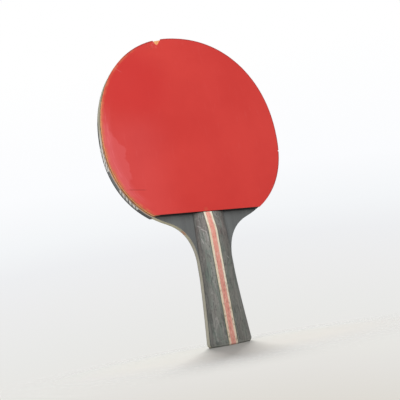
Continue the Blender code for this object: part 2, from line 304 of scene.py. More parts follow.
# The grip's cream veneers and red strip.
CREAM_LIGHT = linear(246, 238, 220)
CREAM_DARK = linear(226, 210, 182)
CREAM_LOW = linear(208, 182, 158)
CREAM_LOW_HEIGHT = (0.085, 0.015)
CREAM_BREAK = linear(142, 118, 98)
CREAM_BUTT_LIT = linear(240, 228, 204)
STRIP_LIGHT = linear(255, 182, 164)
STRIP_DARK = linear(232, 152, 136)
STRIP_LOW = linear(184, 128, 116)
STRIP_LOW_HEIGHT = (0.092, 0.050)
STRIP_PALE_FLECK = linear(238, 190, 174)
STRIP_DARK_FLECK = linear(158, 92, 82)
STRIP_BUTT_LIT = linear(232, 168, 154)

# The tape's colours.
TAPE_PALE = linear(244, 240, 230)
TAPE_GRIMY = linear(196, 192, 180)
TAPE_OLIVE = linear(188, 182, 156)
TAPE_OLIVE_GRIMY = linear(156, 150, 128)
TAPE_OLIVE_HEIGHT = (0.158, 0.172)
TAPE_DASH = linear(255, 252, 246)
TAPE_DUST = linear(222, 160, 112)
TAPE_DUST_DEPTH = (-0.0007, -0.0016)
TAPE_DUST_TOP = (0.176, 0.150)
TAPE_INK = linear(26, 25, 26)
TAPE_BAR_INK = linear(98, 99, 99)

# The tape's print, by the run along the tape from its left end and the distance behind the blade's middle.
PRINT_PERIOD = 0.170
PRINT_ENDS = (0.0120, 0.0665)
PRINT_SOFTNESS = 0.0006
PRINT_WAVE = 0.0014
PRINT_FRONT = -0.0013
PRINT_FRONT_HALF_SOFTNESS = 0.00015
BAR_ENDS = (0.0315, 0.0475)
BAR_FRONT = -0.0006
DASH_PERIOD = 0.0036
DASH_ENDS = (0.0004, 0.0031)
DASH_SOFTNESS = 0.0004
DASH_SLANT = 0.45
DASH_WAVE = 0.0012
FRONT_LINE_EDGES = (-0.0024, -0.0015)
FRONT_LINE_SOFTNESS = 0.0003
BACK_LINE_RUN = (0.0880, 0.0860)
BACK_LINE_EDGES = (0.0034, 0.0018)  # past that run, and before it
BACK_LINE_HALF_SOFTNESS = 0.0002
LOW_END_RUN = (0.0125, 0.0115)
LOW_END_DEPTH = (-0.0010, -0.0002)

# Sockets of the node that mixes two colours.
MIX_SHARE = 0
MIX_FIRST = 6
MIX_SECOND = 7
MIX_RESULT = 2


class Nodes:
    """A tree of shader nodes. Its helpers return an output socket that the next one takes."""

    def __init__(self, tree):
        self.tree = tree

    def node(self, kind, inputs=None, **settings):
        """A new node with these settings, and with sockets or plain values on its inputs."""
        made = self.tree.nodes.new("ShaderNode" + kind)
        for key, value in settings.items():
            setattr(made, key, value)
        for key, value in (inputs or {}).items():
            self.feed(made.inputs[key], value)
        return made

    def feed(self, socket, value):
        """Links another socket to this one, or sets it to a plain value."""
        if isinstance(value, bpy.types.NodeSocket):
            self.tree.links.new(value, socket)
        else:
            socket.default_value = value

    def math(self, operation, first, second=0.0):
        return self.node("Math", {0: first, 1: second}, operation=operation).outputs[0]

    def vector(self, operation, first, second):
        """A node and not a socket, since its result is a vector or a number."""
        return self.node("VectorMath", {0: first, 1: second}, operation=operation)

    def all_of(self, *shares):
        """The product of several shares."""
        product = shares[0]
        for share in shares[1:]:
            product = self.math("MULTIPLY", product, share)
        return product

    def most_of(self, *shares):
        """The largest of several shares."""
        largest = shares[0]
        for share in shares[1:]:
            largest = self.math("MAXIMUM", largest, share)
        return largest

    def rest_of(self, share):
        """What a share leaves of 1."""
        return self.math("SUBTRACT", 1.0, share)

    def fade(self, value, start, full):
        """0 where the value is at the start, 1 where it is full, and smooth between."""
        inputs = {"Value": value, "From Min": start, "From Max": full}
        return self.node("MapRange", inputs, interpolation_type="SMOOTHSTEP").outputs["Result"]

    def between(self, value, low, high, softness):
        """1 where the value lies between low and high, with edges this soft."""
        half = softness / 2
        rise = self.fade(value, low - half, low + half)
        return self.all_of(rise, self.fade(value, high + half, high - half))

    def level(self, share, low, high):
        """A number that runs from low to high with the share."""
        return self.node("MapRange", {"Value": share, "To Min": low, "To Max": high}).outputs["Result"]

    def mix(self, share, first, second):
        """The first colour where the share is 0, and the second where it is 1."""
        made = self.node("Mix", data_type="RGBA")
        for socket, value in ((MIX_SHARE, share), (MIX_FIRST, first), (MIX_SECOND, second)):
            self.feed(made.inputs[socket], value)
        return made.outputs[MIX_RESULT]

    def over(self, below, above, *shares):
        """One colour laid over another, as far as all the shares let it."""
        return self.mix(self.all_of(*shares), below, above)


class Finish(Nodes):
    """One material made of nodes, which knows the places of the racket that it covers."""

    def __init__(self, name):
        self.material = bpy.data.materials.new(name)
        self.material.use_nodes = True
        super().__init__(self.material.node_tree)
        self.shader = self.tree.nodes["Principled BSDF"]
        self.place = self.node("TexCoord").outputs["Object"]
        self.x, self.y, self.z = self.node("SeparateXYZ", {0: self.place}).outputs
        self.bumps = None

    def noise_at(self, place, detail, distortion=0.0):
        inputs = {"Vector": place, "Scale": 1.0, "Detail": detail, "Distortion": distortion}
        return self.node("TexNoise", inputs).outputs["Fac"]

    def noise(self, across, along=None, detail=3.0, shift=(0.0, 0.0, 0.0), distortion=0.0):
        """Noise with this many grains a metre across the racket, and along it where that differs."""
        moved = self.vector("ADD", self.place, shift).outputs[0]
        grains = (across, across, along or across)
        return self.noise_at(self.vector("MULTIPLY", moved, grains).outputs[0], detail, distortion)

    def near(self, place, radius):
        """1 at this place of the face, fading to 0 at this distance from it."""
        flat = self.vector("MULTIPLY", self.place, (1.0, 0.0, 1.0)).outputs[0]
        away = self.vector("DISTANCE", flat, (place[0], 0.0, place[1])).outputs["Value"]
        return self.fade(away, radius, radius / 3)

    def line(self, ends, width):
        """1 along a straight line on the face between two places."""
        start, end = Vector(ends[0]), Vector(ends[1])
        run = (end - start).normalized()
        offset = self.vector("SUBTRACT", self.place, (start.x, 0.0, start.y)).outputs[0]
        along = self.vector("DOT_PRODUCT", offset, (run.x, 0.0, run.y)).outputs["Value"]
        across = self.vector("DOT_PRODUCT", offset, (-run.y, 0.0, run.x)).outputs["Value"]
        length = (end - start).length
        within = self.between(along, 0.0, length, length / 3)
        return self.all_of(within, self.fade(self.math("ABSOLUTE", across), width, width / 3))

    def rim_depth(self):
        """How far inside the head's rim a place is, true near the rim."""
        rise = self.math("SUBTRACT", self.z, WIDEST_HEIGHT)
        across = self.math("DIVIDE", self.math("ABSOLUTE", self.x), HEAD_HALF_WIDTH)
        radii = []
        for reach, exponent in ((UPPER_REACH, UPPER_EXPONENT), (LOWER_REACH, LOWER_EXPONENT)):
            up = self.math("DIVIDE", self.math("ABSOLUTE", rise), reach)
            powers = [self.math("POWER", share, exponent) for share in (across, up)]
            radii.append(self.math("POWER", self.math("ADD", *powers), 1 / exponent))
        upper = self.math("GREATER_THAN", rise, 0.0)
        lower = self.rest_of(upper)
        radius = self.math("ADD", self.all_of(upper, radii[0]), self.all_of(lower, radii[1]))
        return self.all_of(self.rest_of(radius), HEAD_HALF_WIDTH)

    def bump(self, height, depth):
        """Adds relief: where height is 1 the surface stands out by this depth."""
        inputs = {"Height": height, "Distance": depth, "Strength": 1.0}
        if self.bumps is not None:
            inputs["Normal"] = self.bumps
        self.bumps = self.node("Bump", inputs).outputs["Normal"]
        self.feed(self.shader.inputs["Normal"], self.bumps)

    def finish(self, colour, roughness):
        """The material, with this colour and roughness on its shader."""
        self.feed(self.shader.inputs["Base Color"], colour)
        self.feed(self.shader.inputs["Roughness"], roughness)
        return self.material


def smooth_rubber(name, dark, light, hazy):
    """Satin rubber with faint clouds and streaks of haze: its finish, its colour and its roughness."""
    made = Finish(name)
    clouds = made.fade(made.noise(16, detail=4.0), 0.35, 0.68)
    haze = made.fade(made.noise(400, 90, shift=(0.1, 0.0, 0.0)), 0.60, 0.80)
    colour = made.over(made.mix(clouds, dark, light), hazy, haze, 0.10)
    made.bump(made.noise(1500, detail=2.0), RUBBER_RELIEF)
    return made, colour, made.level(made.noise(60, detail=4.0), *RUBBER_ROUGHNESS)


def dark_foot(made, colour, height):
    """Painted shade, nearly black, up to this height over the wings, where the rubber and its sponge end."""
    return made.over(colour, FOOT_SHADE, made.fade(made.z, RUBBER_FOOT + height, RUBBER_FOOT + height / 5))


def rim_streaks(made, depth):
    """Noise drawn out into streaks that follow the head's rim."""
    turn = made.math("ARCTAN2", made.math("SUBTRACT", made.z, WIDEST_HEIGHT), made.x)
    grains = {0: made.all_of(depth, STREAKS_INWARDS), 1: made.all_of(turn, STREAKS_ROUND)}
    return made.noise_at(made.node("CombineXYZ", grains).outputs[0], 3.0)


def sheen_and_pale_band(made, colour, depth):
    """A faint painted sheen over the lower left, and a paler band along the lower left rim, with a jagged
    inner edge.
    """
    sheen = made.all_of(made.fade(made.x, *SHEEN_ACROSS), made.fade(made.z, *SHEEN_TOP))
    # Painted sheen over the lower left.
    colour = made.over(colour, RED_WORN_AND_SHEEN, sheen, 0.12)
    reach = made.all_of(made.fade(made.z, *BAND_FOOT), made.fade(made.z, *BAND_TOP))
    edge = made.level(made.fade(made.z, *BAND_BEND), *BAND_EDGE)
    uneven = made.math("SUBTRACT", made.noise(95, detail=4.0, shift=(0.0, 0.0, 0.31)), 0.5)
    jagged = made.math("ADD", made.x, made.all_of(uneven, BAND_JAG))
    inside = made.fade(made.math("SUBTRACT", jagged, edge), *BAND_SOFTNESS)
    colour = made.over(colour, RED_WORN_AND_SHEEN, inside, reach, 0.24)
    streaks = made.level(made.fade(rim_streaks(made, depth), 0.48, 0.66), 0.24, 0.62)
    outer = made.all_of(made.fade(depth, *STREAK_DEPTH), made.fade(made.x, *STREAK_ACROSS))
    return made.over(colour, RED_WORN_AND_SHEEN, outer, reach, streaks)


def dusty_rim(made, colour, depth):
    """Orange dust from the sponge, in patches along the left rim."""
    patches = made.fade(made.noise(170, shift=(0.5, 0.0, 0.0)), 0.4, 0.6)
    rim = made.all_of(made.fade(depth, *DUST_DEPTH), made.fade(made.x, *DUST_ACROSS))
    return made.over(colour, DUST_COLOUR, rim, made.level(patches, 0.25, 0.85))


def marked_face(made, colour):
    """Fine scratches, a dark scrape, grime and scuffs round the tear, and a smudge over the stripe."""
    for ends in FINE_SCRATCHES:
        colour = made.over(colour, RED_WORN_AND_SHEEN, made.line(ends, FINE_SCRATCH_WIDTH), 0.4)
    colour = made.over(colour, SCRAPE_COLOUR, made.line(SCRAPE, SCRAPE_WIDTH), 0.5)
    flecks = made.fade(made.noise(600), 0.50, 0.58)
    colour = made.over(colour, GRIME_COLOUR, made.near(GRIME_PLACE, GRIME_RADIUS), flecks, 0.45)
    scuff = made.near(TEAR_SCUFF_PLACE, TEAR_SCUFF_RADIUS)
    colour = made.over(colour, RED_WORN_AND_SHEEN, scuff, flecks, 0.35)
    return made.over(colour, SMUDGE_COLOUR, made.near(SMUDGE_PLACE, SMUDGE_RADIUS), 0.3)


def darker_cut_edge(made, colour, depth):
    """The rubber's cut edge catches less light along the top and the right."""
    side = made.math("ADD", made.x, made.math("SUBTRACT", made.z, WIDEST_HEIGHT))
    upper_right = made.fade(side, *CUT_EDGE_SIDE)
    return made.over(colour, RED_CUT_EDGE, made.fade(depth, *CUT_EDGE_DEPTH), upper_right, 0.7)


def red_rubber():
    """Used red rubber, deeper red at the upper left, whose pips the sponge's dust has turned orange."""
    made, colour, roughness = smooth_rubber("red_rubber", RED_DARK, RED_LIGHT, RED_HAZE)
    depth = made.rim_depth()
    colour = made.over(colour, RED_DEEP, made.near(DEEP_PLACE, DEEP_RADIUS), 0.60)
    colour = sheen_and_pale_band(made, colour, depth)
    colour = dusty_rim(made, colour, depth)
    colour = marked_face(made, colour)
    colour = darker_cut_edge(made, colour, depth)
    colour = dark_foot(made, colour, FOOT_SHADE_HEIGHT)
    colour = made.over(colour, PIP_COLOUR, made.fade(made.y, *PIP_COLOUR_DEPTH), 0.6)
    return made.finish(colour, roughness)


def black_rubber():
    """Black rubber, worn pale in patches round its rim."""
    made, colour, roughness = smooth_rubber("black_rubber", BLACK_DARK, BLACK_LIGHT, BLACK_HAZE)
    rim = made.fade(made.rim_depth(), *BLACK_WEAR_DEPTH)
    patches = made.fade(made.noise(260, 60), 0.5, 0.7)
    return made.finish(made.over(colour, BLACK_WORN, rim, patches, 0.35), roughness)


def foam(name, pore, dark, light):
    """Open-cell foam: its finish and its colour."""
    made = Finish(name)
    cells = made.node("TexVoronoi", {"Vector": made.place, "Scale": FOAM_CELLS}).outputs["Distance"]
    skin = made.fade(cells, 0.08, 0.38)
    made.bump(skin, FOAM_RELIEF)
    return made, made.mix(skin, pore, made.mix(made.noise(70), dark, light))


def orange_foam():
    """Orange foam, with painted light on it in the tear, and painted shade at its foot except at the left
    end.
    """
    made, colour = foam("orange_sponge", *ORANGE_FOAM)
    # Painted light in the tear.
    colour = made.over(colour, LIT_FOAM, made.near(TEAR_PLACE, LIT_FOAM_RADIUS), 0.55)
    shaded = dark_foot(made, colour, FOAM_SHADE_HEIGHT)
    colour = made.mix(made.fade(made.x, *FOAM_SHADE_ACROSS), colour, shaded)
    return made.finish(colour, MATT_ROUGHNESS)


def dark_foam():
    made, colour = foam("dark_sponge", *DARK_FOAM)
    return made.finish(colour, MATT_ROUGHNESS)


def wood(name, light, dark, streaks=0.5, contrast=0.14):
    """Wood with its grain along Z: its finish, its colour and how light its streaks are."""
    made = Finish(name)
    broad = made.noise(190, 9, detail=4.0, distortion=0.4)
    lines = made.noise(1100, 22)
    pores = made.fade(made.noise(2600, 130, detail=2.0), 0.60, 0.72)
    share = made.math("ADD", made.all_of(broad, streaks), made.all_of(lines, 1 - streaks))
    colour = made.mix(made.fade(share, 0.5 - contrast, 0.5 + contrast), dark, light)
    made.bump(lines, GRAIN_RELIEF)
    made.bump(made.rest_of(pores), PORE_RELIEF)
    return made, made.over(colour, dark, pores, 0.45), share


def lit_butt_edge(made, colour, lit_colour):
    """Painted light that pales the rounded edge round the butt, in patches."""
    patchy = made.level(made.noise(700), 0.15, 0.75)
    return made.over(colour, lit_colour, made.fade(made.z, *BUTT_LIGHT_HEIGHT), patchy)


def bare_edge_wood(name, light, dark, low_light, low_dark):
    """The blade's pale edge, greyer down the grip from dirt and painted shade, with one orange stain."""
    made, colour, share = wood(name, light, dark, streaks=0.4)
    grimy_shaded = made.mix(made.noise(500, 60, detail=4.0), low_dark, low_light)
    colour = made.mix(made.fade(made.z, *GRIMY_SHADED_HEIGHT), colour, grimy_shaded)
    colour = made.over(colour, EDGE_STAIN_COLOUR, made.near(EDGE_STAIN_PLACE, EDGE_STAIN_RADIUS), 0.6)
    return made.finish(lit_butt_edge(made, colour, light), made.level(share, *BARE_WOOD_ROUGHNESS))


def stained_ply():
    """Dark grey under a thin satin lacquer, in shade next to the rubber, and pale at its cut edge."""
    made, colour, share = wood("dark_ply", PLY_LIGHT, PLY_DARK, streaks=0.7, contrast=0.2)
    colour = made.over(colour, PLY_SHADE, made.fade(made.z, *PLY_SHADE_HEIGHT), 0.8)
    # The cut edge greyer lower down, from dirt and painted shade.
    edge = made.mix(made.fade(made.z, *GRIMY_SHADED_HEIGHT), PLY_EDGE, PLY_EDGE_LOW)
    colour = made.mix(made.fade(made.math("ABSOLUTE", made.y), *PLY_EDGE_DEPTH), edge, colour)
    return made.finish(colour, made.level(share, *PLY_ROUGHNESS))


def blotched(made, colour):
    """Browner under the rubber and greener below, with dark and pale streaks and dark specks."""
    low = made.fade(made.z, *BLOCK_LOW)
    green = made.noise(130, 40, detail=4.0, shift=(0.3, 0.0, 0.0), distortion=1.4)
    colour = made.over(colour, BLOCK_GREEN, made.fade(green, 0.44, 0.60), made.level(low, 0.20, 0.64))
    brown = made.noise(150, 50, detail=4.0, shift=(0.0, 0.4, 0.2), distortion=1.4)
    colour = made.over(colour, BLOCK_BROWN, made.fade(brown, 0.42, 0.58), made.level(low, 0.72, 0.20))
    deep = made.noise(420, 90, detail=4.0, shift=(0.7, 0.0, 0.1), distortion=1.2)
    colour = made.over(colour, BLOCK_STREAK, made.fade(deep, 0.55, 0.63), 0.50)
    pale = made.noise(520, 150, detail=4.0, shift=(0.2, 0.6, 0.1), distortion=1.2)
    colour = made.over(colour, BLOCK_PALE_STREAK, made.fade(pale, 0.56, 0.66), 0.40)
    specks = made.noise(1300, 420, detail=2.0, shift=(0.1, 0.2, 0.0))
    return made.over(colour, BLOCK_SPECK, made.fade(specks, 0.60, 0.66), 0.62)


def stain_lined(made, colour, front):
    """A greenish stain line beside each veneer."""
    middle = made.all_of(front, FRONT_STRIPE_OFFSET)
    away = made.math("ABSOLUTE", made.math("SUBTRACT", made.x, middle))
    return made.over(colour, STAIN_LINE, made.fade(away, *STAIN_LINE_REACH), 0.55)


def scuffed(made, colour, front):
    """Pale scratchy scuffs and single scratches over the front of the slope, and a few scuffs elsewhere."""
    scratchy = made.noise(1200, 300, detail=4.0, shift=(0.0, 0.0, 0.7), distortion=1.2)
    patch = made.all_of(made.near(SCUFF_PLACE, SCUFF_RADIUS), front)
    few = made.fade(made.noise(60, 28, detail=2.0, shift=(0.0, 0.2, 0.45)), 0.56, 0.70)
    spread = made.most_of(patch, made.all_of(few, 0.7))
    colour = made.over(colour, SCUFF_COLOUR, made.fade(scratchy, 0.56, 0.63), spread, 0.50)
    for ends in FRONT_SCRATCHES:
        scratch = made.line(ends, FRONT_SCRATCH_WIDTH)
        colour = made.over(colour, FRONT_SCRATCH_COLOUR, scratch, front, 0.50)
    return colour


def stained_block():
    """Grey stained wood, scuffed and scratched, with painted shade tinted brown at the upper right, darker
    flanks, and dark glue with painted contact shade at the seam.
    """
    made, colour, share = wood("grey_wood", BLOCK_LIGHT, BLOCK_DARK, streaks=0.45, contrast=0.2)
    front = made.math("LESS_THAN", made.y, 0.0)
    colour = blotched(made, colour)
    # Painted shade, tinted brown, at the upper right.
    right = made.all_of(made.fade(made.x, *BLOCK_RIGHT_SHADE_ACROSS), made.fade(made.z, *BLOCK_RIGHT_SHADE_HEIGHT))
    colour = made.over(colour, BLOCK_RIGHT_SHADE, right, 0.22)
    colour = stain_lined(made, colour, front)
    colour = scuffed(made, colour, front)
    depth = made.math("ABSOLUTE", made.y)
    colour = made.over(colour, BLOCK_FLANK, made.fade(depth, *BLOCK_FLANK_DEPTH), 0.45)
    # Dark glue and painted contact shade at the seam.
    colour = made.over(colour, BLOCK_SEAM_GLUE_AND_SHADE, made.fade(depth, *BLOCK_SEAM_GLUE_AND_SHADE_DEPTH), 0.6)
    return made.finish(lit_butt_edge(made, colour, BLOCK_BUTT_LIT), made.level(share, *GRIP_ROUGHNESS))


def cream_veneer():
    """Nearly white under the rubber, and worn and broken towards the butt."""
    made, colour, share = wood("cream_veneer", CREAM_LIGHT, CREAM_DARK)
    low = made.fade(made.z, *CREAM_LOW_HEIGHT)
    colour = made.over(colour, CREAM_LOW, low, 0.6)
    breaks = made.fade(made.noise(900, 420, detail=4.0, shift=(0.0, 0.0, 0.3)), 0.50, 0.60)
    colour = made.over(colour, CREAM_BREAK, breaks, made.level(low, 0.10, 0.62))
    return made.finish(lit_butt_edge(made, colour, CREAM_BUTT_LIT), made.level(share, *GRIP_ROUGHNESS))


def red_veneer():
    """Faded red veneer, browner towards the butt, with pale and dark flecks."""
    made, colour, share = wood("red_veneer", STRIP_LIGHT, STRIP_DARK)
    colour = made.over(colour, STRIP_LOW, made.fade(made.z, *STRIP_LOW_HEIGHT), 0.46)
    pale = made.fade(made.noise(900, 400, shift=(0.2, 0.0, 0.0)), 0.52, 0.62)
    colour = made.over(colour, STRIP_PALE_FLECK, pale, 0.5)
    dark = made.fade(made.noise(800, 300, shift=(0.0, 0.0, 0.6)), 0.54, 0.64)
    colour = made.over(colour, STRIP_DARK_FLECK, dark, 0.45)
    return made.finish(lit_butt_edge(made, colour, STRIP_BUTT_LIT), made.level(share, *GRIP_ROUGHNESS))


def tape_print(made, depth, uneven):
    """Where the tape's ink lies, where its pale dashes lie and where its bar lies."""
    run = made.node("Attribute", attribute_name="run").outputs["Fac"]
    place = made.math("FLOORED_MODULO", run, PRINT_PERIOD)
    printed = made.between(place, *PRINT_ENDS, PRINT_SOFTNESS)
    bar = made.between(place, *BAR_ENDS, PRINT_SOFTNESS)
    beside_bar = made.all_of(printed, made.rest_of(bar))

    slanted = made.math("ADD", place, made.all_of(depth, DASH_SLANT))
    wavy = made.math("ADD", slanted, made.all_of(uneven, DASH_WAVE))
    step = made.math("FLOORED_MODULO", wavy, DASH_PERIOD)
    dashes = made.all_of(made.between(step, *DASH_ENDS, DASH_SOFTNESS), beside_bar)

    past_front = made.math("SUBTRACT", depth, made.level(bar, PRINT_FRONT, BAR_FRONT))
    within = made.fade(past_front, -PRINT_FRONT_HALF_SOFTNESS, PRINT_FRONT_HALF_SOFTNESS)
    field = made.all_of(printed, within, made.rest_of(dashes))
    front_line = made.between(depth, *FRONT_LINE_EDGES, FRONT_LINE_SOFTNESS)
    front_line = made.all_of(beside_bar, front_line, 0.55)
    back_edge = made.level(made.fade(place, *BACK_LINE_RUN), *BACK_LINE_EDGES)
    past_back = made.math("SUBTRACT", depth, back_edge)
    back_line = made.fade(past_back, -BACK_LINE_HALF_SOFTNESS, BACK_LINE_HALF_SOFTNESS)
    crossed = made.all_of(dashes, made.level(made.fade(place, *BAR_ENDS), 0.40, 1.0))
    back_line = made.all_of(back_line, made.rest_of(crossed))
    low_end = made.all_of(made.fade(place, *LOW_END_RUN), made.fade(depth, *LOW_END_DEPTH))
    return made.most_of(field, front_line, back_line, low_end), dashes, bar


def tape():
    """Pale tape, olive over the top, with rows of plain slanted dashes and a grey bar between them."""
    made = Finish("tape")
    uneven = made.math("SUBTRACT", made.noise(260), 0.5)
    depth = made.math("ADD", made.y, made.all_of(uneven, PRINT_WAVE))
    inked, dashes, bar = tape_print(made, depth, uneven)
    grime = made.noise(300, detail=4.0)
    pale = made.mix(grime, TAPE_PALE, TAPE_GRIMY)
    olive = made.mix(grime, TAPE_OLIVE, TAPE_OLIVE_GRIMY)
    pale = made.mix(made.fade(made.z, *TAPE_OLIVE_HEIGHT), pale, olive)
    pale = made.over(pale, TAPE_DASH, dashes, 0.4)
    dusty = made.all_of(made.fade(depth, *TAPE_DUST_DEPTH), made.fade(made.z, *TAPE_DUST_TOP))
    pale = made.over(pale, TAPE_DUST, dusty, 0.85)
    ink = made.mix(bar, TAPE_INK, TAPE_BAR_INK)
    colour = made.over(pale, ink, inked, made.level(grime, 0.98, 0.84))
    made.bump(made.noise(2200, detail=2.0), TAPE_RELIEF)
    return made.finish(colour, made.level(grime, *TAPE_ROUGHNESS))


def outline_of(node, depth):
    """A convex node's outline at this distance behind the blade's middle, anticlockwise, as (x, z)."""
    found = {
        (round(v.co.x, PLACE_DIGITS), round(v.co.z, PLACE_DIGITS))
        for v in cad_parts[node].data.vertices
        if abs(v.co.y - depth) < LEVEL_TOLERANCE
    }
    return sorted(
        (Vector(point) for point in found),
        key=lambda p: math.atan2(p.y - HEAD_MIDDLE.y, p.x - HEAD_MIDDLE.x),
    )


def with_point(points, target):
    """A closed line with one more point, its nearest to this place, and that point's number."""
    best = math.inf
    for i, start in enumerate(points):
        run = points[(i + 1) % len(points)] - start
        share = min(max((target - start).dot(run) / run.length_squared, 0.0), 1.0)
        foot = start + share * run
        if (foot - target).length < best:
            best = (foot - target).length
            number, found = i + 1, foot
    return [*points[:number], found, *points[number:]], number


def walk(points, start, distance):
    """The place on a closed line this far from its point number start, and the number last passed."""
    step = 1 if distance > 0 else -1
    left = abs(distance)
    i = start
    while True:
        j = (i + step) % len(points)
        length = (points[j] - points[i]).length
        if length >= left:
            return points[i].lerp(points[j], left / length), i
        left -= length
        i = j


def notched(outline, place, width, depth, lean, ragged, steps, seed):
    """The outline with a V cut into it next to this place, in steps; ragged is how uneven its sides are."""
    draw = random.Random(seed)
    points, centre = with_point(outline, Vector(place))
    first, before = walk(points, centre, -width / 2)
    last, after = walk(points, centre, width / 2)
    along = (last - first).normalized()
    inward = Vector((-along.y, along.x))
    middle = first.lerp(last, 0.5)
    sides = []
    for i in range(1, 2 * steps):
        share = i / steps - 1
        sink = 1 - abs(share) ** NOTCH_EXPONENT
        shift = draw.uniform(-ragged, ragged)
        across = share * width / 2 + sink * lean + shift
        sides.append(middle + along * across + inward * (sink * depth + shift))
    kept = []
    i = (after + 1) % len(points)
    while i != before:
        kept.append(points[i])
        i = (i + 1) % len(points)
    return [*kept, first, *sides, last]


def join_rings(mesh_data, rings):
    """Adds the faces of a closed solid through rings of equally many corners."""
    count = len(rings[0])
    for lower, upper in zip(rings, rings[1:]):
        for i in range(count):
            j = (i + 1) % count
            mesh_data.faces.new((lower[i], lower[j], upper[j], upper[i]))
    mesh_data.faces.new(rings[0])
    mesh_data.faces.new(rings[-1])


def plate(mesh_data, outlines, depths):
    """Adds a closed plate through equally long outlines, one for each distance from the blade's middle."""
    rings = [
        [mesh_data.verts.new((p.x, depth, p.y)) for p in outline]
        for outline, depth in zip(outlines, depths)
    ]
    join_rings(mesh_data, rings)


def inset(points, *amounts):
    """A closed anticlockwise line moved inwards, by one amount or by one for each point."""
    if len(amounts) == 1:
        amounts *= len(points)
    moved = []
    for i, (point, amount) in enumerate(zip(points, amounts)):
        before = (point - points[i - 1]).normalized()
        after = (points[(i + 1) % len(points)] - point).normalized()
        share = amount / (1 + before.dot(after))
        moved.append(point + share * Vector((-before.y - after.y, before.x + after.x)))
    return moved


def divided(points, step):
    """A closed line with more points, none further than this step from the next."""
    made = []
    for i, point in enumerate(points):
        after = points[(i + 1) % len(points)]
        count = math.ceil((after - point).length / step)
        made.extend(point.lerp(after, j / count) for j in range(count))
    return made


def depth_inside(points, place):
    """How far this place lies inside a convex outline; negative outside it."""
    least = math.inf
    for i, point in enumerate(points):
        run = (points[(i + 1) % len(points)] - point).normalized()
        offset = place - point
        least = min(least, run.x * offset.y - run.y * offset.x)
    return least


def covered(outline, centre):
    """Whether this place lies inside a closed line that may be notched."""
    crossings = 0
    for i, point in enumerate(outline):
        after = outline[(i + 1) % len(outline)]
        if (point.y > centre.y) != (after.y > centre.y):
            if centre.x < point.x + (centre.y - point.y) / (after.y - point.y) * (after.x - point.x):
                crossings += 1
    return crossings % 2 == 1


def add_piece(name, mesh_data, material, slot, *nodes):
    """Makes an object of a bmesh that rides on the root body and stands for the named CAD nodes."""
    bmesh.ops.recalc_face_normals(mesh_data, faces=mesh_data.faces)
    mesh = bpy.data.meshes.new(name)
    mesh_data.to_mesh(mesh)
    mesh_data.free()
    mesh.materials.append(material)
    piece = bpy.data.objects.new(name, mesh)
    bpy.context.scene.collection.objects.link(piece)
    mesh.shade_smooth()
    mesh.set_sharp_from_angle(angle=SHARP_ANGLE)
    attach(piece, "root")
    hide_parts(*nodes)
    return piece


def round_edges(piece, radius, steps):
    bevel = piece.modifiers.new("rounding", "BEVEL")
    bevel.width = radius
    bevel.segments = steps
    bevel.limit_method = "ANGLE"
    bevel.angle_limit = ROUNDED_ANGLE
    bevel.harden_normals = True


def pip_places(outline, sheet_outline):
    """The middles of the pips near the rim, in staggered rows, wherever the sheet covers them."""
    row_height = PIP_SPACING * math.sqrt(3) / 2
    rows = int((WIDEST_HEIGHT + UPPER_REACH - RUBBER_FOOT) / row_height) + 1
    columns = math.ceil(HEAD_HALF_WIDTH / PIP_SPACING)
    places = []
    for row in range(rows):
        for column in range(-columns, columns + 1):
            x = (column + row % 2 / 2) * PIP_SPACING
            centre = Vector((x, RUBBER_FOOT + row * row_height))
            if 2 * PIP_CLEARANCE < depth_inside(outline, centre) < PIP_FIELD_DEPTH + PIP_RADIUS:
                if covered(sheet_outline, centre):
                    places.append(centre)
    return places


def add_pip(mesh_data, outline, centre, tip, root):
    """A short peg, cut flat where it crosses the rim."""
    rings = []
    for radius in (PIP_RADIUS * PIP_TIP_SHARE, PIP_RADIUS):
        ring = []
        for i in range(PIP_SIDES):
            turn = 2 * math.pi * i / PIP_SIDES
            offset = Vector((math.cos(turn), math.sin(turn))) * radius
            margin = depth_inside(outline, centre + offset)
            if margin < PIP_CLEARANCE:
                inner = depth_inside(outline, centre)
                offset *= (inner - PIP_CLEARANCE) / (inner - margin)
            ring.append(centre + offset)
        rings.append(ring)
    plate(mesh_data, rings, (tip, root))


def add_topsheet(word, side, outline, sheet_outline, material, slot):
    """A rubber sheet with its pips: those near the rim one by one, the rest as one block behind them."""
    node = f"{word}_topsheet"
    low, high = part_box(node)
    face = side * max(abs(low.y), abs(high.y))
    tips = side * min(abs(low.y), abs(high.y))
    under = face - side * SHEET_THICKNESS
    sheet = bmesh.new()
    plate(sheet, (sheet_outline, sheet_outline), (under, face))
    piece = add_piece(f"{word}_rubber_sheet", sheet, material, slot, node)
    round_edges(piece, SHEET_RIM_RADIUS, SHEET_RIM_STEPS)
    pips = bmesh.new()
    block = inset(outline, PIP_FIELD_DEPTH)
    plate(pips, (block, block), (tips, under))
    for centre in pip_places(outline, sheet_outline):
        add_pip(pips, outline, centre, tips, under)
    add_piece(f"{word}_rubber_pips", pips, material, slot)


def add_foam(word, outline, material, slot, seed):
    """A sponge whose cut edge is uneven."""
    node = f"{word}_sponge"
    low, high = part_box(node)
    draw = random.Random(seed)
    rim = inset(divided(outline, FOAM_STEP), FOAM_INSET)
    shares = [i / (FOAM_RINGS - 1) for i in range(FOAM_RINGS)]
    rings = [inset(rim, *(draw.uniform(0, FOAM_UNEVENNESS) for _ in rim)) for _ in shares]
    foam_data = bmesh.new()
    plate(foam_data, rings, [low.y + share * (high.y - low.y) for share in shares])
    add_piece(f"{word}_foam", foam_data, material, slot, node)


def from_right_end(outline, foot):
    """The outline from the right end of the rubber's foot over the top to the left end."""
    start = max(range(len(outline)), key=lambda i: (outline[i].y < foot + LEVEL_TOLERANCE, outline[i].x))
    return outline[start:] + outline[:start]


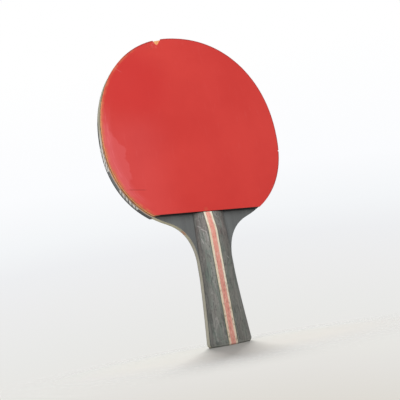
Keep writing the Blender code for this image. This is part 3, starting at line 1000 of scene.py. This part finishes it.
def add_tape(outline, material):
    """A thin band round the head's edge, whose corners hold their run along the tape, for its print."""
    foot = min(p.y for p in outline)
    path = from_right_end(outline, foot)
    inner, outer = inset(path, -GLUE_LINE), inset(path, -GLUE_LINE - TAPE_THICKNESS)
    inner[0].y = outer[0].y = inner[-1].y = outer[-1].y = foot
    low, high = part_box("edge_tape")
    band = bmesh.new()
    runs = band.verts.layers.float.new("run")
    draw = random.Random(TAPE_SEED)
    rings = []
    run = sum((b - a).length for a, b in zip(path, path[1:]))
    for i, (near, far) in enumerate(zip(inner, outer)):
        if i:
            run -= (path[i] - path[i - 1]).length
        front = low.y + draw.uniform(0, TAPE_UNEVENNESS)
        back = high.y - draw.uniform(0, TAPE_UNEVENNESS)
        corners = ((near, front), (far, front), (far, back), (near, back))
        ring = [band.verts.new((point.x, depth, point.y)) for point, depth in corners]
        for vertex in ring:
            vertex[runs] = run
        rings.append(ring)
    join_rings(band, rings)
    add_piece("edge_tape_printed", band, material, "tape", "edge_tape")


def torn(outline):
    """The outline with the tear at its top and the nick at its right."""
    outline = notched(
        outline, TEAR_PLACE, TEAR_WIDTH, TEAR_DEPTH, TEAR_LEAN, TEAR_RAGGEDNESS, TEAR_STEPS, TEAR_SEED
    )
    return notched(
        outline, NICK_PLACE, NICK_WIDTH, NICK_DEPTH, NICK_LEAN, NICK_RAGGEDNESS, NICK_STEPS, NICK_SEED
    )


def add_rubbers():
    """Both topsheets and sponges. Returns the outline that they share."""
    outline = outline_of("back_topsheet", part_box("back_topsheet")[1].y - SHEET_RIM_RADIUS)
    add_topsheet("front", -1, outline, torn(outline), red_rubber(), "red_rubber")
    add_topsheet("back", 1, outline, outline, black_rubber(), "black_rubber")
    add_foam("front", outline, orange_foam(), "orange_sponge", FRONT_FOAM_SEED)
    add_foam("back", outline, dark_foam(), "dark_sponge", BACK_FOAM_SEED)
    return outline


def dress(node, material):
    """Gives a CAD node its finish."""
    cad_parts[node].material_slots[0].material = material


def dress_wood():
    """Finishes for the blade's plies and the grip's blocks and strips, which stay the CAD's own objects."""
    core = bare_edge_wood("core_wood", *CORE_WOOD)
    cross = bare_edge_wood("crossband_wood", *CROSSBAND_WOOD)
    ply = stained_ply()
    cream = cream_veneer()
    red = red_veneer()
    block = stained_block()
    dress("blade_core", core)
    for word in ("front", "back"):
        dress(f"{word}_crossband", cross)
        dress(f"{word}_face_ply", ply)
        dress(f"{word}_scale_red_strip", red)
        for hand in ("left", "right"):
            dress(f"{word}_scale_{hand}_veneer", cream)
            dress(f"{word}_scale_{hand}_block", block)


def add_camera():
    camera = bpy.data.cameras.new("camera")
    camera.sensor_fit = "HORIZONTAL"
    camera.sensor_width = SENSOR_WIDTH
    camera.lens = SENSOR_WIDTH * FOCAL_PIXELS / IMAGE_WIDTH
    camera.clip_start = NEAREST_SEEN
    made = bpy.data.objects.new("camera", camera)
    bpy.context.scene.collection.objects.link(made)
    columns = Matrix((CAMERA_RIGHT, CAMERA_UP, CAMERA_BACK)).transposed()
    made.matrix_world = Matrix.Translation(CAMERA_PLACE) @ columns.to_4x4()
    bpy.context.scene.camera = made


def add_lamp(name, place, target, size, power):
    light = bpy.data.lights.new(name, "AREA")
    light.shape = "RECTANGLE"
    light.size, light.size_y = size
    light.energy = power
    made = bpy.data.objects.new(name, light)
    bpy.context.scene.collection.objects.link(made)
    made.location = place
    made.rotation_euler = (Vector(target) - Vector(place)).to_track_quat("-Z", "Y").to_euler()
    return made


def backdrop(made):
    """A pale background that darkens downwards."""
    lowest, highest = BACKDROP_RANGE
    direction = made.node("TexCoord").outputs["Generated"]
    up = made.vector("DOT_PRODUCT", direction, BACKDROP_UP).outputs["Value"]
    place = made.node("MapRange", {"Value": up, "From Min": lowest, "From Max": highest}).outputs["Result"]
    ramp = made.node("ValToRGB", {"Fac": place})
    tones = ramp.color_ramp.elements
    while len(tones) < len(BACKDROP_TONES):
        tones.new(0.5)
    for tone, (height, colour) in zip(tones, BACKDROP_TONES):
        tone.position = (height - lowest) / (highest - lowest)
        tone.color = colour
    return made.node("Background", {"Color": ramp.outputs["Color"]}).outputs[0]


def add_world():
    """Even white light, with the backdrop where the camera sees the world."""
    world = bpy.data.worlds.new("studio")
    world.use_nodes = True
    bpy.context.scene.world = world
    made = Nodes(world.node_tree)
    light = made.tree.nodes["Background"]
    made.feed(light.inputs["Color"], (1.0, 1.0, 1.0, 1.0))
    made.feed(light.inputs["Strength"], WORLD_STRENGTH)
    seen = made.node("LightPath").outputs["Is Camera Ray"]
    chosen = made.node("MixShader", {0: seen, 1: light.outputs[0], 2: backdrop(made)})
    made.feed(made.tree.nodes["World Output"].inputs["Surface"], chosen.outputs[0])


def add_floor():
    """A pale floor that fades into the backdrop round the racket."""
    mesh = bpy.data.meshes.new("floor")
    mesh_data = bmesh.new()
    bmesh.ops.create_circle(mesh_data, cap_ends=True, radius=FLOOR_RADIUS, segments=FLOOR_SIDES)
    mesh_data.to_mesh(mesh)
    mesh_data.free()
    floor = bpy.data.objects.new("floor", mesh)
    bpy.context.scene.collection.objects.link(floor)
    made = Finish("floor")
    away = made.vector("DISTANCE", made.place, FLOOR_MIDDLE).outputs["Value"]
    colour = made.mix(made.fade(away, *FLOOR_DARKENING), FLOOR_COLOUR, FLOOR_FAR_COLOUR)
    made.feed(made.shader.inputs["Specular IOR Level"], 0.0)
    made.feed(made.shader.inputs["Alpha"], made.fade(away, *FLOOR_FADE))
    mesh.materials.append(made.finish(colour, MATT_ROUGHNESS))
    return floor


def light_floor(floor):
    """A lamp behind the racket that lights the floor alone, so that the grip's shadow falls forwards."""
    lamp = add_lamp("floor lamp", *FLOOR_LAMP)
    lit = bpy.data.collections.new("floor alone")
    lit.objects.link(floor)
    lamp.light_linking.receiver_collection = lit


add_camera()
add_tape(add_rubbers(), tape())
dress_wood()
add_world()
light_floor(add_floor())
add_lamp("key", *KEY_LAMP)
add_lamp("fill", *FILL_LAMP)
bpy.context.scene.view_settings.view_transform = "Standard"
